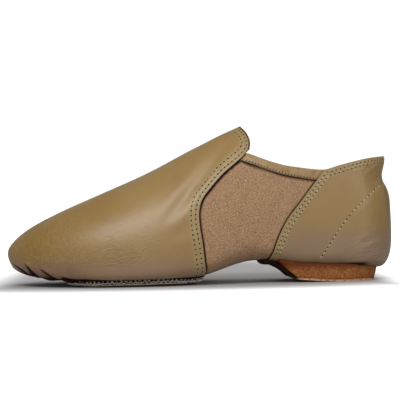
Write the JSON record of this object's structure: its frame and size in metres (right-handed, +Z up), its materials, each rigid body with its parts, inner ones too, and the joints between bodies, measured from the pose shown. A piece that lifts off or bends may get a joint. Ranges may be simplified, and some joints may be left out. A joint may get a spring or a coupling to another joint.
{
  "type": "jazz shoe",
  "caption": "Slip-on leather jazz dance shoe with a split suede sole, low heel and stretch side panels, for the left foot.",
  "frame": {"origin": "on the floor, under the middle of the shoe's length and width", "axes": "+X from toe to heel, +Y to the inner (medial) side, +Z up"},
  "size_m": [0.25, 0.0841, 0.1005],
  "materials": {
    "leather": "smooth glossy tan",
    "stretch_lining": "matt stretch fabric with a fine mottle",
    "sock": "matt",
    "sole_suede": "rough suede, pale at the edge",
    "heel_suede": "orange-brown suede"
  },
  "bodies": {
    "root": {"upper": "stretch_lining", "vamp": "leather", "quarter": "leather", "collar_binding_lateral": "leather", "collar_binding_medial": "leather", "insole": "sock", "forefoot_sole": "sole_suede", "heel_breast_cover": "heel_suede", "heel_block": "heel_suede", "heel_top_piece": "sole_suede"}
  },
  "joints": []
}
